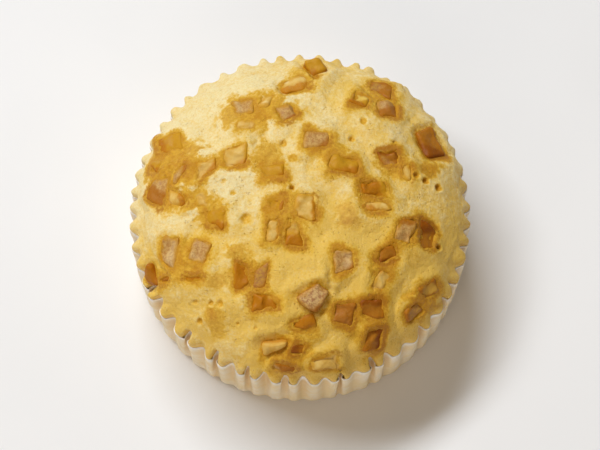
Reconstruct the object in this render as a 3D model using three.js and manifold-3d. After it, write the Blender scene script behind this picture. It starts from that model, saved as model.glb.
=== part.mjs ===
// A steamed cake in its pleated paper case, with candied dice set into the domed top.
// Millimetres, +Z up. The origin is the middle of the flat base, and -Y is the front.
import * as THREE from "three";
import { ConvexGeometry } from "three/addons/geometries/ConvexGeometry.js";
import { mergeVertices } from "three/addons/utils/BufferGeometryUtils.js";
import Module from "manifold-3d";

// Paper case: a pleated cup with a flat floor and a rounded bottom edge.
const RIM_RADIUS = 45;
const CASE_HEIGHT = 26;
const WALL_FOOT_RADIUS = 44.7;
const CORNER_RADIUS = 2.2;
const FOOT_SHARE = 0.25; // a pleat's depth at the foot of the wall, as a share of its depth at the rim
const FLOOR_SHARE = 0.1; // and at the edge of the floor
const INNER_FOLD_SHARE = 0.2; // share of the way to the next fold that an inner fold stays flat
const OUTER_FOLD_SHARE = 0.25;
const PAPER = 0.6; // radial thickness of the wall, and thickness of the floor

// The case's pleats in turn round the rim: the angle of the inner fold, its depth, and the angle of the
// outer fold that follows it, in degrees from +X towards +Y.
const PLEATS = [
  [0.5, 2.4, 3.2],
  [7, 2.0, 10.8],
  [13.5, 1.8, 16.4],
  [20, 2.0, 23.8],
  [26.5, 1.6, 29.2],
  [33.5, 1.8, 37],
  [40.5, 1.8, 44],
  [47.5, 1.8, 51],
  [54.5, 2.0, 58.5],
  [61.5, 2.0, 65],
  [67.5, 2.4, 70.2],
  [73.5, 2.4, 77],
  [80, 2.4, 83.5],
  [87, 2.4, 90.2],
  [93.5, 2.4, 97],
  [100, 2.4, 103],
  [106, 2.4, 110],
  [115, 3.0, 118],
  [121, 2.2, 126],
  [130.5, 2.0, 133.2],
  [136, 2.2, 139.2],
  [143, 2.6, 146],
  [149, 2.0, 152.5],
  [156, 2.8, 159.5],
  [162.5, 2.8, 165.6],
  [169, 2.4, 171.6],
  [174, 2.6, 177],
  [180, 2.0, 183.6],
  [187.5, 2.2, 191],
  [194, 1.8, 197],
  [200.5, 1.6, 203.5],
  [206.8, 3.0, 208.8],
  [212, 3.0, 216.4],
  [220, 2.6, 224.6],
  [228, 3.2, 230.4],
  [234.5, 2.0, 237.6],
  [239.9, 3.2, 242.6],
  [246, 2.3, 249.4],
  [252, 3.1, 254.6],
  [258, 2.9, 261.5],
  [265, 2.7, 267.8],
  [271, 2.5, 275],
  [278.5, 1.6, 281.6],
  [283.7, 3.2, 285.6],
  [289, 1.4, 292.8],
  [295.5, 3.0, 297.8],
  [300.8, 2.5, 304.6],
  [308.5, 1.6, 312],
  [316, 2.8, 318.4],
  [322, 1.8, 325.6],
  [329, 2.6, 331.4],
  [334.5, 2.8, 337.2],
  [340.8, 2.0, 344.6],
  [348.5, 2.6, 351.2],
  [354.5, 1.9, 357.4],
];

// Sponge: it fills the case and domes above the rim.
const SPONGE_INSET = 1.1; // from the outside of the paper, so 0.5 mm clear of its inside
const SPONGE_LIP = 25.8; // height up to which it fills the pleats
const FLUTE_TOP = 27; // height at which the flutes that the pleats press into it are half gone
const FLUTE_LEFT = 0.5;
const FLUTE_MIDDLE = 1; // depth in a pleat that lies at the dome's radius
const FLUTE_DRAW = 0.2;
const DOME_STEPS = 112; // points round the dome's foot
const DOME_RADIUS = 42.9;
const DOME_FOOT = 28;
const DOME_HEIGHT = 17.3;
const DOME_UNEVENNESS = 0.35;
const DOME_ROUND = 2.2; // exponent of the radius in the dome's rounded outline
const DOME_FULLNESS = 0.6; // exponent of the height in it
const RING_SHARES = [1, 0.98, 0.94, 0.88, 0.81, 0.73, 0.64, 0.54, 0.44, 0.34, 0.23, 0.12];
const SWELL = 0.5; // height of the slow waves in the dome
const SWELL_LENGTHS = [5.1, 4.3, 3.3];
const CROSS_SWELL = 0.6;
const OVERHANG = 1.5; // how far the dome swells over the rim at its back right
const OVERHANG_ANGLE = THREE.MathUtils.degToRad(43);
const OVERHANG_SPREAD = 0.34;

// Low humps where a die lies just under the dome's surface: middle in plan, and half width.
const HUMP_HEIGHT = 0.8;
const HUMPS = [
  [13, -4, 3.2],
  [-17, -13, 2.8],
  [-21.5, -29.5, 3],
  [-8.5, 13, 3],
  [-26.5, 13, 2.6],
  [-19, 22, 3],
  [-4, -42, 2.4],
];

// Dice sunk in the dome: middle in plan, length, width, turn in degrees, how far the top stands out of
// the dome, and how much of the dome's slope the die leans with.
const DICE_DEPTH = 6;
const DICE_CHAMFER = 0.5;
const DICE_UNEVENNESS = 0.35;
const DICE_CLEARANCE = 0.3;
const POCKET_HEADROOM = 4;
const DICE = {
  amber: [
    [4, 38, 4.4, 4.8, 25, 2.2, 0.15],
    [-33.5, 17.2, 7.2, 5.8, 5, 0.7, 0.8],
    [-37.2, 11.2, 4.2, 3.6, -10, 0.9, 1],
    [-7, 7, 6.6, 4.8, 0, 0.5, 1],
    [11.2, 9, 8.4, 4.8, -8, 0.7, 1],
    [15.5, 27.5, 5, 5, -25, 1, 0.9],
    [19, 2.6, 7, 4.4, 0, 0.7, 1],
    [-1.8, -9.6, 4.8, 6.6, 10, 0.4, 1],
    [-6.2, -1.2, 4.9, 4.4, 0, 0.4, 1],
    [-27, -19.7, 6.2, 2.6, 0, 0.6, 1],
    [-15, -19.4, 4, 6.6, -5, 0.6, 1],
    [-9.2, -26, 6.8, 4.2, 0, 0.8, 1],
    [1, -31.5, 6.4, 3.4, 5, 0.5, 1],
    [-21.5, -4.6, 5.6, 4.6, -5, 0.4, 1],
  ],
  pale: [
    [-14, 20, 5.6, 2.8, -5, 0.6, 1],
    [-8.8, 27, 3.2, 4, -5, 0.6, 1],
    [-1.2, 32.4, 7.4, 5, 15, 0.5, 0.9],
    [-16.5, 11.5, 6.4, 5.6, 10, 0.8, 1],
    [-24, 8.6, 5.6, 4.2, 25, 0.9, 1],
    [-31.5, 1.4, 6, 3.8, -15, 0.8, 1],
    [-25, 0.4, 3.4, 4, -5, 0.5, 1],
    [-7, -8.6, 3.6, 6.2, 0, 0.6, 1],
    [1.5, -2.4, 5, 6.8, 0, 0.5, 1],
    [20.4, -20.4, 3.8, 5.6, -20, 0.8, 1],
    [27.4, 8, 2.8, 4.4, -10, 0.8, 1],
    [19.5, -1.8, 6.6, 3, 0, 0.5, 1],
    [-6.6, -36.8, 6.4, 2.4, 15, 0.8, 1],
    [6.2, -40, 7.6, 4.6, 5, 0.7, 0.9],
  ],
  skin: [
    [-14.5, 25.7, 6, 5, 0, 0.7, 1],
    [-3.2, 23.4, 5.4, 4.6, 20, 0.6, 1],
    [-36.6, 4.4, 6.2, 7, -10, 0.8, 0.8],
    [-30.8, 7.8, 6.4, 2.6, 60, 1, 1],
    [4.2, 15.6, 6.8, 5.4, 0, 0.9, 1],
    [22.8, 25.4, 6.4, 5.4, -5, 0.8, 0.9],
    [26.6, -7.6, 5, 6.4, -5, 0.6, 1],
    [11, -16, 5.8, 6.4, 10, 0.5, 1],
    [-33.4, -12, 5.8, 7.6, -25, 0.8, 0.9],
    [-25.6, -13, 5.6, 6.2, -20, 0.6, 1],
    [3.5, -25, 6.7, 5, 45, 1.8, 0.8],
    [11, -28.8, 6, 6, -10, 0.5, 1],
    [-4, -41, 6.8, 2.8, 0, 0.8, 0.9],
  ],
  brown: [
    [21, 32, 6.8, 4.4, -20, 1, 0.75],
    [34, 17.4, 6, 8.4, 20, 0.8, 0.85],
    [23, 11.4, 5.6, 4.6, 10, 0.7, 1],
    [-38.4, -16.8, 3.4, 4.8, 25, 0.7, 0.9],
    [-34.8, -18.6, 3.8, 2.2, 10, 0.6, 1],
    [32.7, -8.2, 5.6, 6.8, -15, 0.6, 1],
    [21.8, -13.6, 5.8, 4, 20, 0.7, 1],
    [-10, -20, 4.2, 5.4, 15, 0.6, 1],
    [18.2, -27.2, 6.6, 5.2, 0, 0.8, 1],
    [18.6, -34, 5.4, 6.6, 0, 0.8, 1],
    [33, -21.2, 5.8, 4.4, 35, 0.6, 1],
    [29, -26.8, 5.8, 4.4, 30, 0.7, 1],
    [-0.2, -37, 3.8, 2.8, 5, 0.5, 1],
  ],
};

const DICE_COLOURS = { amber: 0xb8700f, pale: 0xdcb66c, skin: 0xc1886a, brown: 0x8d4a08 };
const PAPER_COLOUR = 0xf3efe4;
const SPONGE_COLOUR = 0xf0cf80;
const TURN = 2 * Math.PI;
const wasm = await Module();
wasm.setup();

// A repeatable run of numbers from 0 to 1.
function seededNumbers(seed) {
  let state = seed;
  return () => {
    state = (Math.imul(state, 1664525) + 1013904223) >>> 0;
    return state / 2 ** 32;
  };
}

// A closed skin over rings of points round the axis, capped by fans. Neighbouring rings may differ in count.
class Skin {
  constructor() {
    this.points = [];
    this.faces = [];
  }

  ring(angles, place) {
    return angles.map((angle, step) => {
      this.points.push(...place(angle, step).toArray());
      return { angle, index: this.points.length / 3 - 1 };
    });
  }

  middle(height) {
    this.points.push(0, 0, height);
    return this.points.length / 3 - 1;
  }

  cap(ring, centre, facing) {
    ring.forEach((corner, step) => {
      const next = ring[(step + 1) % ring.length];
      const edge = facing > 0 ? [corner.index, next.index] : [next.index, corner.index];
      this.faces.push(...edge, centre);
    });
  }

  // The band between two rings, stepping on whichever ring has the nearer next corner. It faces out, or in
  // where facing is below 0.
  band(lower, upper, facing = 1) {
    const face = (first, second, third) =>
      this.faces.push(...(facing > 0 ? [first, second, third] : [second, first, third]));
    const at = (ring, step) => ring[step % ring.length];
    const angle = (ring, step) => at(ring, step).angle + (step >= ring.length ? TURN : 0);
    let low = 0;
    let high = 0;
    while (low < lower.length || high < upper.length) {
      const stepLow =
        high >= upper.length || (low < lower.length && angle(lower, low + 1) <= angle(upper, high + 1));
      const from = at(lower, low).index;
      const over = at(upper, high).index;
      if (stepLow) {
        low += 1;
        face(from, at(lower, low).index, over);
      } else {
        high += 1;
        face(from, at(upper, high).index, over);
      }
    }
  }

  geometry() {
    const made = new THREE.BufferGeometry();
    made.setAttribute("position", new THREE.Float32BufferAttribute(this.points, 3));
    made.setIndex(this.faces);
    return made;
  }
}

function polar(angle, radius, height) {
  return new THREE.Vector3(radius * Math.cos(angle), radius * Math.sin(angle), height);
}

// Each pleat has four corners: the two ends of its inner fold and the two of its outer fold.
function pleatCorners() {
  const round = PLEATS.length;
  const turns = (step) => 360 * Math.floor(step / round);
  const inner = (step) => PLEATS[(step + round) % round][0] + turns(step);
  const outer = (step) => PLEATS[(step + round) % round][2] + turns(step);
  return PLEATS.flatMap(([angle, depth, outerAngle], step) => {
    const back = angle - outer(step - 1);
    const over = outerAngle - angle;
    const on = inner(step + 1) - outerAngle;
    return [
      { degrees: angle - INNER_FOLD_SHARE * back, inward: depth },
      { degrees: angle + INNER_FOLD_SHARE * over, inward: depth },
      { degrees: outerAngle - OUTER_FOLD_SHARE * over, inward: 0 },
      { degrees: outerAngle + OUTER_FOLD_SHARE * on, inward: 0 },
    ];
  }).map(({ degrees, inward }) => ({ angle: THREE.MathUtils.degToRad(degrees), inward }));
}

const CORNERS = pleatCorners();
const PLEAT_ANGLES = CORNERS.map((corner) => corner.angle);

// Rings up the case's wall at a distance in from its outside, from the floor's edge to a given height.
function wallRings(skin, inset, top, cornerSteps) {
  const floorEdge = WALL_FOOT_RADIUS - CORNER_RADIUS - inset / 2;
  const rings = [];
  for (let step = 0; step <= cornerSteps; step += 1) {
    const share = step / cornerSteps;
    const bend = (share * Math.PI) / 2;
    const radius = floorEdge + (CORNER_RADIUS - inset / 2) * Math.sin(bend);
    const height = inset + (CORNER_RADIUS - inset) * (1 - Math.cos(bend));
    rings.push({ radius, height, depth: THREE.MathUtils.lerp(FLOOR_SHARE, FOOT_SHARE, share) });
  }
  rings.push({ radius: RIM_RADIUS - inset, height: top, depth: 1 });
  return rings.map(({ radius, height, depth }) =>
    skin.ring(PLEAT_ANGLES, (angle, step) => polar(angle, radius - depth * CORNERS[step].inward, height)),
  );
}

function paperCase() {
  const skin = new Skin();
  const outside = wallRings(skin, 0, CASE_HEIGHT, 2);
  const inside = wallRings(skin, PAPER, CASE_HEIGHT, 2);
  skin.cap(outside[0], skin.middle(0), -1);
  skin.cap(inside[0], skin.middle(PAPER), 1);
  for (let step = 1; step < outside.length; step += 1) {
    skin.band(outside[step - 1], outside[step]);
    skin.band(inside[step - 1], inside[step], -1);
  }
  skin.band(outside[outside.length - 1], inside[inside.length - 1]);
  return skin.geometry();
}

// The dome's outer radius at an angle: it swells over the rim at the back right.
function domeRadius(angle) {
  const away = Math.atan2(Math.sin(angle - OVERHANG_ANGLE), Math.cos(angle - OVERHANG_ANGLE));
  const uneven = DOME_UNEVENNESS * (Math.sin(3 * angle + 1) + 0.7 * Math.sin(7 * angle));
  return DOME_RADIUS + uneven + OVERHANG * Math.exp(-((away / OVERHANG_SPREAD) ** 2));
}

// The dome's height over a point in plan, with humps, and slow waves that fade out at its edge.
function domeHeight(x, y) {
  const share = Math.min(Math.hypot(x, y) / domeRadius(Math.atan2(y, x)), 1);
  const rise = (1 - share ** DOME_ROUND) ** DOME_FULLNESS;
  const [alongX, alongY, across] = SWELL_LENGTHS;
  const waves =
    Math.sin(x / alongX + 0.6) * Math.sin(y / alongY) + CROSS_SWELL * Math.sin((x + y) / across + 2);
  const humps = HUMPS.reduce(
    (sum, [atX, atY, half]) => sum + Math.exp(-((x - atX) ** 2 + (y - atY) ** 2) / half ** 2),
    0,
  );
  const fade = THREE.MathUtils.clamp(4 * rise - 1, 0, 1);
  return DOME_FOOT + DOME_HEIGHT * rise + fade * (SWELL * waves + HUMP_HEIGHT * humps);
}

// Fewer points stand round the dome's smaller rings.
function ringCount(share) {
  if (share > 0.5) return DOME_STEPS;
  return share > 0.2 ? DOME_STEPS / 2 : DOME_STEPS / 4;
}

function evenAngles(count) {
  return Array.from({ length: count }, (_, step) => ((step + 0.5) / count) * TURN);
}

function spongeBody() {
  const skin = new Skin();
  const wall = wallRings(skin, SPONGE_INSET, SPONGE_LIP, 1);
  skin.cap(wall[0], skin.middle(SPONGE_INSET), -1);
  const flutes = skin.ring(PLEAT_ANGLES, (angle, step) => {
    const flute = (FLUTE_MIDDLE - CORNERS[step].inward) * FLUTE_LEFT;
    return polar(angle, domeRadius(angle) - FLUTE_DRAW + flute, FLUTE_TOP);
  });
  const dome = RING_SHARES.map((share) =>
    skin.ring(evenAngles(ringCount(share)), (angle) => {
      const radius = share * domeRadius(angle);
      const point = polar(angle, radius, 0);
      return point.setZ(domeHeight(point.x, point.y));
    }),
  );
  const rings = [...wall, flutes, ...dome];
  for (let step = 1; step < rings.length; step += 1) {
    skin.band(rings[step - 1], rings[step]);
  }
  skin.cap(dome[dome.length - 1], skin.middle(domeHeight(0, 0)), 1);
  return skin.geometry();
}

// The frame of a die: on the dome, its third axis leaning with the dome's slope.
function diceFrame([x, y, , , turn, , lean]) {
  const reach = 1.5;
  const slopeX = (domeHeight(x + reach, y) - domeHeight(x - reach, y)) / (2 * reach);
  const slopeY = (domeHeight(x, y + reach) - domeHeight(x, y - reach)) / (2 * reach);
  const normal = new THREE.Vector3(-slopeX * lean, -slopeY * lean, 1).normalize();
  const upright = new THREE.Quaternion().setFromUnitVectors(new THREE.Vector3(0, 0, 1), normal);
  const turned = new THREE.Quaternion().setFromAxisAngle(
    new THREE.Vector3(0, 0, 1),
    THREE.MathUtils.degToRad(turn),
  );
  return new THREE.Matrix4().compose(
    new THREE.Vector3(x, y, domeHeight(x, y)),
    upright.multiply(turned),
    new THREE.Vector3(1, 1, 1),
  );
}

// The eight corners of a hand-cut die, grown by a margin, from below the dome to a height over it.
function diceCorners([x, y, length, width], margin, top) {
  const random = seededNumbers(Math.round(1000 + 31 * x + 17 * y));
  const corners = [];
  for (const sx of [-1, 1]) {
    for (const sy of [-1, 1]) {
      for (const sz of [-1, 1]) {
        const cutX = (random() - 0.5) * DICE_UNEVENNESS;
        const cutY = (random() - 0.5) * DICE_UNEVENNESS;
        const place = new THREE.Vector3(
          sx * (length / 2 + margin + cutX),
          sy * (width / 2 + margin + cutY),
          sz > 0 ? top : -DICE_DEPTH - margin,
        );
        corners.push({ place, inward: new THREE.Vector3(-sx, -sy, -sz) });
      }
    }
  }
  return corners;
}

// A die with its edges and corners cut back: three points stand for each corner.
function diceGeometry(dice) {
  const points = diceCorners(dice, 0, dice[5]).flatMap(({ place, inward }) =>
    [0, 1, 2].map((axis) => {
      const cut = inward.clone().multiplyScalar(DICE_CHAMFER);
      cut.setComponent(axis, 0);
      return place.clone().add(cut);
    }),
  );
  return new ConvexGeometry(points);
}

function pocketGeometry(dice) {
  const corners = diceCorners(dice, DICE_CLEARANCE, POCKET_HEADROOM);
  return new ConvexGeometry(corners.map(({ place }) => place)).applyMatrix4(diceFrame(dice));
}

// A closed geometry as a solid that can be cut, and a cut solid as a geometry again.
function toSolid(geometry) {
  const plain = new THREE.BufferGeometry();
  plain.setAttribute("position", geometry.getAttribute("position"));
  plain.setIndex(geometry.index);
  const merged = mergeVertices(plain, 1e-4);
  return new wasm.Manifold(
    new wasm.Mesh({
      numProp: 3,
      vertProperties: merged.attributes.position.array,
      triVerts: new Uint32Array(merged.index.array),
    }),
  );
}

function fromSolid(solid) {
  const mesh = solid.getMesh();
  const made = new THREE.BufferGeometry();
  made.setAttribute("position", new THREE.BufferAttribute(mesh.vertProperties, 3));
  made.setIndex(new THREE.BufferAttribute(mesh.triVerts, 1));
  return made;
}

// The sponge with a pocket cut for each die, without any crumb that the cuts leave loose.
function spongeGeometry(allDice) {
  const pockets = allDice.map((dice) => toSolid(pocketGeometry(dice)));
  const cut = pockets.reduce((solid, pocket) => solid.subtract(pocket), toSolid(spongeBody()));
  const bodies = cut.decompose().sort((first, second) => second.volume() - first.volume());
  return fromSolid(bodies[0]);
}

function named(name, geometry, color, roughness) {
  const mesh = new THREE.Mesh(geometry, new THREE.MeshStandardMaterial({ color, roughness, metalness: 0 }));
  mesh.name = name;
  return mesh;
}

const cake = new THREE.Group();
cake.add(named("paper_case", paperCase(), PAPER_COLOUR, 0.8));
cake.add(named("sponge", spongeGeometry(Object.values(DICE).flat()), SPONGE_COLOUR, 0.75));
Object.entries(DICE).forEach(([kind, list]) => {
  list.forEach((dice, step) => {
    const number = String(step + 1).padStart(2, "0");
    const mesh = named(`${kind}_dice_${number}`, diceGeometry(dice), DICE_COLOURS[kind], 0.35);
    mesh.applyMatrix4(diceFrame(dice));
    cake.add(mesh);
  });
});

export default cake;
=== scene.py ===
"""A steamed cake in its pleated paper case, with candied dice set into the domed top.

Lengths are in millimetres and turned to metres where they meet a mesh. +Z is up and -Y is the front.
"""

import math

import bpy
import numpy as np
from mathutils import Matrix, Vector, noise


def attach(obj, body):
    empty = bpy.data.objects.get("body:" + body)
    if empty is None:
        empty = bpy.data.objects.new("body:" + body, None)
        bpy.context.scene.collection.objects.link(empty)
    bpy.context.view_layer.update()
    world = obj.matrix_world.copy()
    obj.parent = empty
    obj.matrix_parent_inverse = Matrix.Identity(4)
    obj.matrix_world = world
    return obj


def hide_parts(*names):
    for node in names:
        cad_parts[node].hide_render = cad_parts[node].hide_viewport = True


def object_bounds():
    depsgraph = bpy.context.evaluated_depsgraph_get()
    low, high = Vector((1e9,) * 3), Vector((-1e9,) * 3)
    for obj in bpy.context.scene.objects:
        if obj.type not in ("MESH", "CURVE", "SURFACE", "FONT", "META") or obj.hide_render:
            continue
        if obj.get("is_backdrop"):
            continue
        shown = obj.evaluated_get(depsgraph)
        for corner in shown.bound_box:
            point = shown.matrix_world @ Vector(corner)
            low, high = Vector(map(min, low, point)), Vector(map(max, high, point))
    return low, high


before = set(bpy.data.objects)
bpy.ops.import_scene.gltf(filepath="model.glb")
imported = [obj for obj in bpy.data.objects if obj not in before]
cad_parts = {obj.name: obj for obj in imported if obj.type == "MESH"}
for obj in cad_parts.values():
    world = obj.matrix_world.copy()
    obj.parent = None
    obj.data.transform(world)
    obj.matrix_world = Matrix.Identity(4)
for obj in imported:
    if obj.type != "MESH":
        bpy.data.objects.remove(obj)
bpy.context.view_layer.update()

MM = 0.001
TURN = 2 * math.pi
SEED_STEP = 17.3  # how far apart in the noise two seeds lie

# Paper case.
RIM_RADIUS = 45.0
CASE_HEIGHT = 26.0
WALL_FOOT_RADIUS = 44.7
CORNER_RADIUS = 2.2
FOOT_SHARE = 0.25  # a pleat's depth at the foot of the wall, as a share of its depth at the rim
FLOOR_SHARE = 0.1  # and where the corner meets the floor
FLOOR_EDGES = ((0.5, 0.0), (0.93, 0.03))  # rings on the floor: share of its radius and of a pleat's depth
CORNER_PINCH = 0.1  # how much of a fold's pinch is left round the corner
FOOT_PINCH = 0.15  # and at the foot of the wall, from where it grows to the rim
PAPER = 0.26  # thickness of the sheet
PLEAT_STEPS = 20  # points along one pleat
WALL_RINGS = 12
CORNER_RINGS = 4
RIM_WAVER = 0.3  # how much the rim rises and falls
WAVER_SPREAD = 4  # how many times round it does so, roughly
WAVER_FADE = 3  # power by which that fades down the wall
FOLD_RISE = 1.0  # how much further the rim stands up for each mm that a fold is deeper than FOLD_LEVEL
FOLD_LEVEL = 2.2
FOLD_FADE = 6  # power by which that fades down the wall
SLACK = 0.22  # how far the paper bulges in and out of its pleats
SLACK_SPREAD = 9
SLACK_LENGTH = 9  # length of a bulge up the wall
SLACK_FOOT = 6  # height below which the bulges fade
PALE_RIM = 2.6  # how far down from the rim the dry, white paper reaches
PALE_BLEND = 2.2
PALE_RAGGED = 0.6
VALLEY_START = 0.3  # how far in from the rim's outside the inner folds' shade starts
VALLEY_SPAN = 1.8
PAPER_CREASE = math.radians(50)

# Pleats in turn round the rim: the inner fold's angle in degrees from +X and its depth, the angle of the
# outer fold that follows it, and how much the inner fold is pinched at its neck.
PLEATS = [
    (0.5, 2.4, 3.2, 0), (7, 2.0, 10.8, 0), (13.5, 1.8, 16.4, 0.2), (20, 2.0, 23.8, 0),
    (26.5, 1.6, 29.2, 0), (33.5, 1.8, 37, 0), (40.5, 1.8, 44, 0), (47.5, 1.8, 51, 0),
    (54.5, 2.0, 58.5, 0), (61.5, 2.0, 65, 0), (67.5, 2.4, 70.2, 0.3), (73.5, 2.4, 77, 0),
    (80, 2.4, 83.5, 0), (87, 2.4, 90.2, 0), (93.5, 2.4, 97, 0), (100, 2.4, 103, 0.2),
    (106, 2.4, 110, 0), (115, 3.0, 118, 0.3), (121, 2.2, 126, 0), (130.5, 2.0, 133.2, 0),
    (136, 2.2, 139.2, 0), (143, 2.6, 146, 0.2), (149, 2.0, 152.5, 0), (156, 2.8, 159.5, 0.1),
    (162.5, 2.8, 165.6, 0.2), (169, 2.4, 171.6, 0), (174, 2.6, 177, 0.3), (180, 2.0, 183.6, 0),
    (187.5, 2.2, 191, 0), (194, 1.8, 197, 0), (200.5, 1.6, 203.5, 0), (206.8, 3.6, 208.8, 0.9),
    (212, 3.3, 216.4, 0.2), (220, 2.6, 224.6, 0.2), (228, 3.6, 230.4, 0.8), (234.5, 2.0, 237.6, 0),
    (239.9, 3.5, 242.6, 0.7), (246, 2.3, 249.4, 0), (252, 3.2, 254.6, 0.6), (258, 2.9, 261.5, 0),
    (265, 2.7, 267.8, 0.5), (271, 2.5, 275, 0.1), (278.5, 1.6, 281.6, 0), (283.7, 3.5, 285.6, 1.0),
    (289, 1.3, 292.8, 0), (295.5, 3.2, 297.8, 0.8), (300.8, 2.6, 304.6, 0.3), (308.5, 1.6, 312, 0),
    (316, 2.9, 318.4, 0.3), (322, 1.8, 325.6, 0), (329, 2.7, 331.4, 0.5), (334.5, 2.9, 337.2, 0.2),
    (340.8, 2.0, 344.6, 0.1), (348.5, 2.7, 351.2, 0.3), (354.5, 1.9, 357.4, 0),
]

# Sponge. Its dome swells where the batter rose most.
DOME_FOOT = 28.0
DOME_RADIUS = 42.9
DOME_HEIGHT = 17.3
DOME_UNEVENNESS = 0.35
DOME_ROUND = 2.2
DOME_FULLNESS = 0.6
SWELL = 0.5
SWELL_LENGTHS = (5.1, 4.3, 3.3)
CROSS_SWELL = 0.6
OVERHANG = 1.5
OVERHANG_ANGLE = math.radians(43)
OVERHANG_SPREAD = 0.34
HUMP_HEIGHT = 0.8
HUMPS = [
    (13, -4, 3.2), (-17, -13, 2.8), (-21.5, -29.5, 3), (-8.5, 13, 3),
    (-26.5, 13, 2.6), (-19, 22, 3), (-4, -42, 2.4),
]
SHEET = 296  # squares along each side of the sheet that is rounded into the dome
SHEET_FOOT = 25.2  # height of the sheet's edge, down between the pleats
FLUTE_TOP = 31.5  # height at which the pleats' flutes have faded out of the dome
FLUTE_FULL = 27.2
HIDDEN_GAP = 0.5  # the crumb keeps this far from the paper's wall, out of sight
CLING = 0.12  # and presses into it at the rim

# Crumb relief that no die makes: x, y, length, width, turn in degrees, and height, below 0 in a furrow.
RELIEF = [
    (-9, -27.5, 22, 6, -8, 0.5), (7, -20.5, 14, 5, 20, 0.6), (2.5, -34, 9, 4.5, -20, 0.6),
    (-11, -33.5, 8, 4, 10, 0.4), (-2, -16, 12, 6, 15, 0.5), (17, -15, 4, 12, 10, 0.5),
    (-20, 8, 7, 10, 30, 0.35), (5, 21, 16, 9, -20, 0.4), (19, 18, 9, 10, 0, 0.35),
    (30, 2, 9, 8, 0, 0.3), (-30, -6, 12, 6, 10, 0.4), (14, 3, 8, 12, 0, 0.3),
    (-6, -35, 12, 3, 15, -0.9), (3, -27.5, 6, 3, 50, -0.5), (-2.4, 5, 2.4, 8, 20, -0.6),
    (24.5, 15.5, 1.6, 3.4, -25, -0.6),
]

# Pits that burst bubbles leave: x, y, radius, depth, and how much darker, in the syrup colours, its bowl is
# painted.
PITS = [
    (-13.9, -5.3, 1.5, 0.75, 0.6), (-4.2, 14.9, 0.9, 0.7, 0.6), (13.3, 16.5, 0.8, 0.8, 0.6),
    (-2.1, 2.7, 0.7, 1.2, 1.0), (-22.6, -25.8, 0.7, 0.6, 0.5), (-20.2, -26.1, 0.9, 0.7, 0.5),
    (-25.6, -29.6, 0.8, 0.7, 0.5), (-26.7, -25.1, 0.7, 0.5, 0.3), (-15.9, -31.2, 0.5, 0.5, 0.4),
    (-11.3, -32.5, 0.5, 0.5, 0.3), (29.9, 7.4, 0.8, 0.9, 0.8), (32.5, 6.3, 0.9, 0.9, 0.8),
    (35.9, 4.9, 1.0, 1.0, 0.9), (35.6, -10.6, 0.8, 1.0, 0.7), (16.4, 21.1, 0.9, 0.4, 0.6),
    (-17.1, 1.7, 0.9, 0.2, 0.45), (-19.6, 4.7, 0.8, 0.3, 0.3), (24.1, 15.9, 0.5, 0.6, 0.4),
]

# Places where a die lies just under the crumb and shows through: x, y, length, width, turn, syrup, cream.
VEILED = [
    (12.2, -4.6, 6.4, 6, 0, 0.7, 0.3), (11.9, -5.8, 2.6, 1.8, 0, 1, 0),
    (-16.4, -13.6, 6.5, 5, -10, 0.6, 0.1), (-21.6, -30, 5.4, 7.5, 10, 0.6, 0.1),
    (-22.3, -28.4, 2.6, 4.2, 20, 0.9, 0), (-8.5, 13.2, 6.5, 6, 0, 0.6, 0.1),
    (-26.6, 14.2, 6.5, 2.8, 10, 0.7, 0.1), (-3.9, -42.1, 7.5, 4, 0, 0.6, 0.2),
    (-18.8, 22.4, 4.5, 6.8, -20, 0.6, 0.1), (33.4, 9.4, 6, 5, 20, 0.9, 0),
    (-10.6, 24, 2.2, 5.2, 10, 1.2, 0), (-1.9, 10.7, 3.2, 2.2, 0, 0.7, 0),
    (-21, -20.6, 7.5, 4, 0, 0.6, 0.2), (28.6, -14, 5, 5, 0, 0.4, 0.2),
    (21, -20, 7, 8, 0, 0.5, 0), (-7.4, 10, 6, 5, 0, 0.5, 0),
    (-10.7, 24.2, 19, 10, 0, 0.8, 0), (15, -27.6, 17, 6.5, 0, 1, 0),
    (18.4, -32.5, 6.5, 11, 0, 1.1, 0), (-32, 13, 12, 12, -30, 0.85, 0),
    (-36.5, 7, 6, 12, 0, 0.9, 0), (-27.5, 8, 12, 7, 20, 0.85, 0),
    (-28, 0.5, 11, 5.5, -5, 0.8, 0), (-3.5, -5.6, 12, 13, 0, 0.8, 0),
    (-13.5, -19.5, 9.5, 9.5, 0, 0.85, 0), (29.6, -8, 12.5, 9, -5, 0.9, 0),
    (21.4, -16, 7.5, 10, -15, 0.9, 0), (31, -24.2, 11, 8, 40, 0.9, 0),
    (19.5, 28.5, 12, 9, -20, 0.75, 0), (24.8, 9.8, 10, 7, 0, 0.8, 0),
    (19.3, 0.6, 8.5, 8.5, 0, 0.8, 0), (-3, -38, 10.5, 8, 0, 0.9, 0),
    (-29.5, -14.2, 14, 9, 0, 0.75, 0), (7.5, 12.5, 11, 8, -30, 0.75, 0),
    (-23, -2.4, 7.5, 8.5, 20, 0.75, 0), (-8, 9.5, 9, 9, 0, 0.7, 0),
    (0.8, 34.5, 9, 7, 40, 0.6, 0),
]

# How much crumb covers a die, and what the crumb does round one.
BARE, LOW, HALF, MOST, ALL = 0.0, 0.25, 0.5, 0.75, 1.0
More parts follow.
